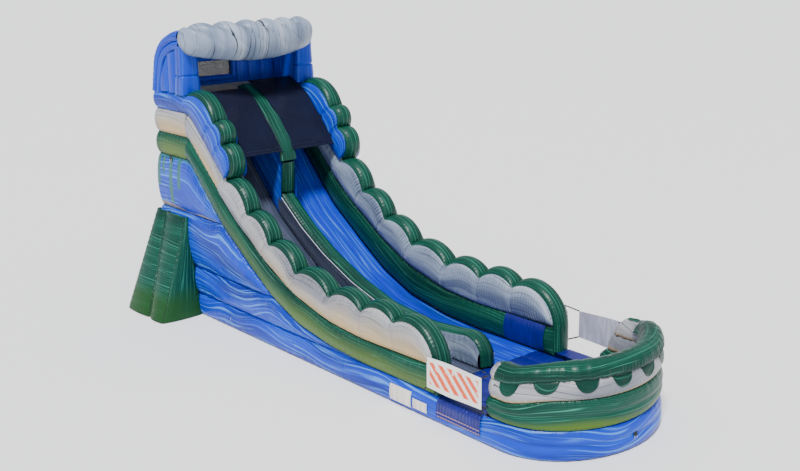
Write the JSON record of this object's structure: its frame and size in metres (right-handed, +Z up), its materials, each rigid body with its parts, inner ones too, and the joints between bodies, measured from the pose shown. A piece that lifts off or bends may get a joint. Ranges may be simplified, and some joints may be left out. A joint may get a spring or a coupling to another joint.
{
  "type": "inflatable water slide",
  "caption": "Tall inflatable water slide: hooded tower, climbing lane and slide lane between scalloped side walls, round splash pool, safety nets, entry banners and anchor rings.",
  "frame": {"origin": "on the ground, at the middle of the footprint", "axes": "+Y along the slide towards the tower, +X to the right of someone who faces the tower from the pool, +Z up"},
  "size_m": [5.3968, 12.268, 6.2298],
  "materials": {
    "blue_vinyl": "coated vinyl, blue marble, satin",
    "green_vinyl": "coated vinyl, dark green marble, satin",
    "grey_vinyl": "coated vinyl, grey marble, satin",
    "deep_blue_vinyl": "coated vinyl, plain deep blue",
    "pale_blue_vinyl": "coated vinyl, light blue",
    "white_vinyl": "coated vinyl, white",
    "black_webbing": "woven webbing",
    "mesh": "navy knitted mesh",
    "steel": "zinc plated",
    "dark_plastic": "moulded"
  },
  "bodies": {
    "slide": {"base_tube": "blue_vinyl", "blower_sleeve": "blue_vinyl", "climb_deck": "blue_vinyl", "climb_handles": "black_webbing", "climb_steps": "blue_vinyl", "core": "blue_vinyl", "crown_roll": "grey_vinyl", "divider_lower": "grey_vinyl", "divider_lower_cap": "green_vinyl", "divider_upper": "blue_vinyl", "divider_upper_cap": "green_vinyl", "drip_band_left": "blue_vinyl", "drip_band_right": "blue_vinyl", "entry_mats": "deep_blue_vinyl", "hood_back_wall": "blue_vinyl", "hood_roof": "blue_vinyl", "hood_side_left": "blue_vinyl", "hood_side_right": "blue_vinyl", "landing_deck": "blue_vinyl", "net_climb_lane": "mesh", "net_slide_lane": "mesh", "pillar_left": "blue_vinyl", "pillar_right": "blue_vinyl", "platform_deck": "grey_vinyl", "pool_green_band": "green_vinyl", "pool_grey_band": "grey_vinyl", "pool_liner": "deep_blue_vinyl", "pool_top_roll": "green_vinyl", "side_body_left": "blue_vinyl", "side_body_right": "blue_vinyl", "slide_deck": "blue_vinyl", "stabiliser_left": "green_vinyl", "stabiliser_right": "green_vinyl", "tower_back_blue_band": "blue_vinyl", "tower_back_green_band": "green_vinyl", "tower_back_grey_band": "grey_vinyl", "tower_webs": "white_vinyl", "wall_left_blue_band": "blue_vinyl", "wall_left_cap": "green_vinyl", "wall_left_green_band": "green_vinyl", "wall_left_grey_band": "grey_vinyl", "wall_right_blue_band": "blue_vinyl", "wall_right_cap": "green_vinyl", "wall_right_green_band": "green_vinyl", "wall_right_grey_band": "grey_vinyl", "webbing_tabs": "black_webbing", "window_frame": "pale_blue_vinyl", "window_mesh": "mesh", "zipper_tape": "black_webbing"},
    "ring_left_back": {"ring_left_back": "steel"},
    "ring_left_front": {"ring_left_front": "steel"},
    "ring_right_back": {"ring_right_back": "steel"},
    "ring_right_front": {"ring_right_front": "steel"},
    "ring_tie_left": {"ring_tie_left": "steel"},
    "ring_tie_right": {"ring_tie_right": "steel"},
    "ring_pool": {"ring_pool": "steel"},
    "banner_left": {"banner_left": "white_vinyl"},
    "banner_right": {"banner_right": "white_vinyl"},
    "zipper_slider": {"zipper_slider": "dark_plastic"},
    "zipper_flap": {"zipper_flap": "deep_blue_vinyl"}
  },
  "joints": [
    {"name": "ring_left_back_swing", "type": "hinge", "parent": "slide", "child": "ring_left_back", "pos_m": [-1.699, 3.081, 0.23], "axis": [0, 1, 0], "range_deg": [0, 170]},
    {"name": "ring_left_front_swing", "type": "hinge", "parent": "slide", "child": "ring_left_front", "pos_m": [-1.699, 0.792, 0.23], "axis": [0, 1, 0], "range_deg": [0, 170]},
    {"name": "ring_right_back_swing", "type": "hinge", "parent": "slide", "child": "ring_right_back", "pos_m": [1.699, 3.081, 0.23], "axis": [0, -1, 0], "range_deg": [0, 170]},
    {"name": "ring_right_front_swing", "type": "hinge", "parent": "slide", "child": "ring_right_front", "pos_m": [1.699, 0.792, 0.23], "axis": [0, -1, 0], "range_deg": [0, 170]},
    {"name": "ring_tie_left_swing", "type": "hinge", "parent": "slide", "child": "ring_tie_left", "pos_m": [-1.699, 5.15, 3.31], "axis": [0, 1, 0], "range_deg": [0, 170]},
    {"name": "ring_tie_right_swing", "type": "hinge", "parent": "slide", "child": "ring_tie_right", "pos_m": [1.699, 5.15, 3.31], "axis": [0, -1, 0], "range_deg": [0, 170]},
    {"name": "ring_pool_swing", "type": "hinge", "parent": "slide", "child": "ring_pool", "pos_m": [0, -6.129, 0.23], "axis": [-1, 0, 0], "range_deg": [0, 170]},
    {"name": "banner_left_swing", "type": "hinge", "parent": "slide", "child": "banner_left", "pos_m": [-1.7055, -3.1, 0.88], "axis": [0, 0, -1], "range_deg": [0, 100]},
    {"name": "banner_right_swing", "type": "hinge", "parent": "slide", "child": "banner_right", "pos_m": [1.7055, -3.1, 0.88], "axis": [0, 0, 1], "range_deg": [0, 100]},
    {"name": "zipper_slide", "type": "slide", "parent": "slide", "child": "zipper_slider", "axis": [1, 0, 0], "range_m": [0, 0.85]},
    {"name": "zipper_flap_lift", "type": "hinge", "parent": "slide", "child": "zipper_flap", "pos_m": [0.5, 5.898, 0.35], "axis": [1, 0, 0], "range_deg": [0, 150]}
  ]
}
